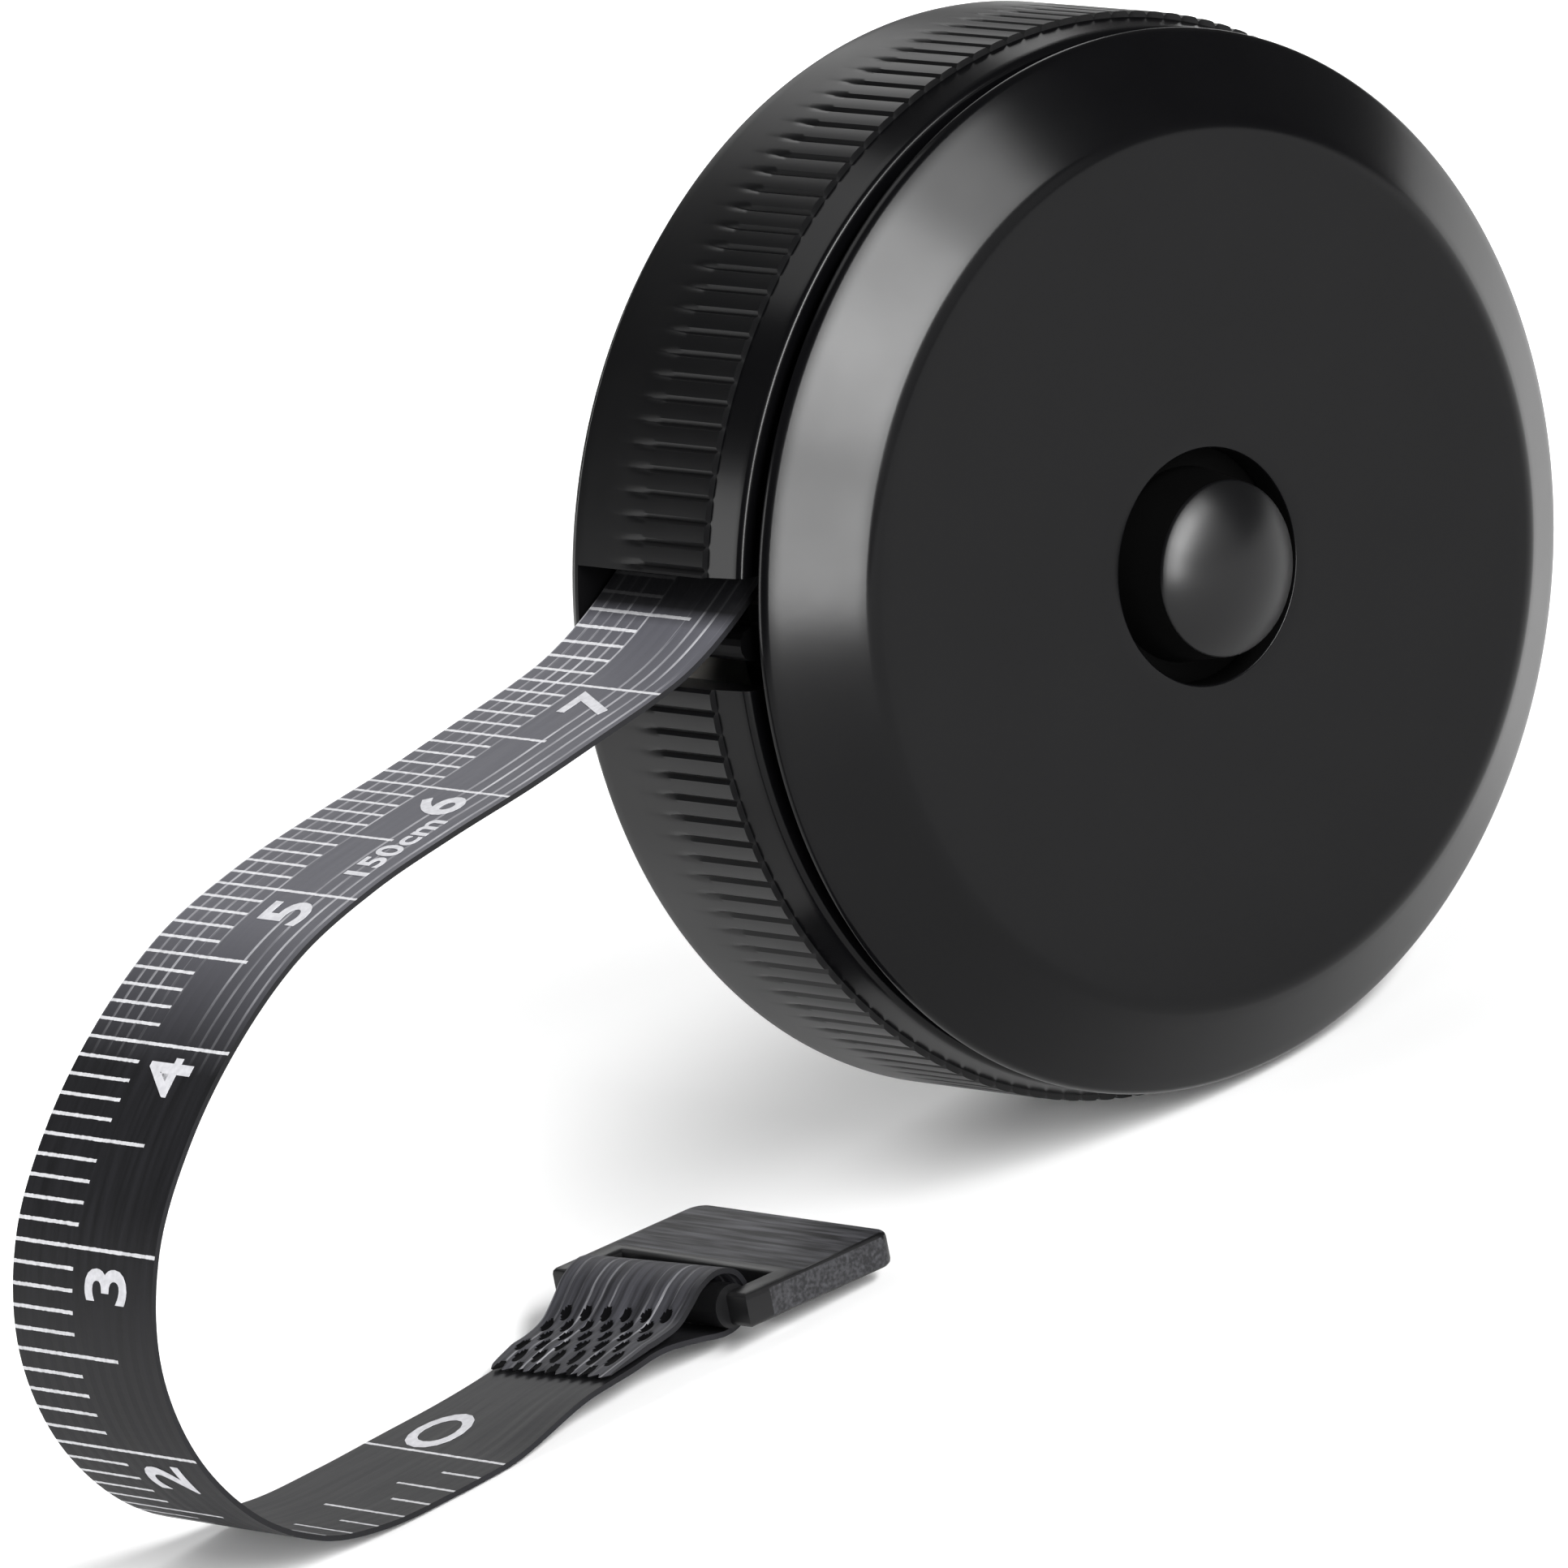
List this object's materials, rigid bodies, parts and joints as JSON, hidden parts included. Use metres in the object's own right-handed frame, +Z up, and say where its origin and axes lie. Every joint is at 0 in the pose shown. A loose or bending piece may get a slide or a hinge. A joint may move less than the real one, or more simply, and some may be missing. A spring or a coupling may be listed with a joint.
{
  "type": "retractable cloth tape measure",
  "caption": "Round black pocket tape measure with a bevelled case, ribbed rim, centre push button and a coated cloth tape that loops out to a flat pull tab.",
  "frame": {"origin": "on the ground under the middle of the case, which stands on its rim", "axes": "+Z up, +Y along the case axis from the front face to the back, -X the way the tape leaves the mouth"},
  "size_m": [0.0927, 0.022, 0.0512],
  "materials": {
    "case_plastic": "moulded black ABS, satin gloss",
    "button_plastic": "moulded black ABS, gloss",
    "tape_cloth": "black coated glass-fibre cloth with white printed scale",
    "tab_plastic": "moulded dark grey plastic, finely ribbed",
    "inner_plastic": "natural acetal",
    "steel": "bright spring steel",
    "brake_rubber": "black rubber"
  },
  "bodies": {
    "case": {"front_cover": "case_plastic", "rim_band": "case_plastic", "rear_cover": "case_plastic", "arbor": "steel", "spring_washer": "steel", "thrust_washer": "inner_plastic", "mouth_guide_pin": "steel", "tape_span": "tape_cloth"},
    "button": {"button": "button_plastic", "button_spring": "steel", "brake_disc": "inner_plastic", "brake_ring": "brake_rubber"},
    "spool": {"spool_drum": "inner_plastic", "spool_front_flange": "inner_plastic", "spool_bush": "inner_plastic", "mainspring": "steel", "mainspring_cover": "inner_plastic", "tape_winding": "tape_cloth"},
    "tape": {"tape_loop": "tape_cloth"},
    "tab": {"end_tab": "tab_plastic"}
  },
  "joints": [
    {"name": "button_press", "type": "slide", "parent": "case", "child": "button", "axis": [0, 1, 0], "range_m": [0, 0.001], "stiffness_N_per_m": 500, "springref_m": -0.0005, "deforming": ["button_spring"]},
    {"name": "spool_turn", "type": "hinge", "parent": "case", "child": "spool", "pos_m": [0, 0, 0.0256], "axis": [0, -1, 0], "range_deg": [0, 5729], "deforming": ["mainspring"]},
    {"name": "tape_pull", "type": "slide", "parent": "case", "child": "tape", "axis": [-1, 0, 0], "range_m": [0, 1.4], "deforming": ["tape_span"]},
    {"name": "tab_flap", "type": "hinge", "parent": "tape", "child": "tab", "pos_m": [-0.0346, 0.0012, 0.00215], "axis": [0, -1, 0], "range_deg": [0, 110]}
  ],
  "couplings": [
    {"joint": "tape_pull", "follows": "spool_turn", "m_per_rad": 0.014}
  ]
}
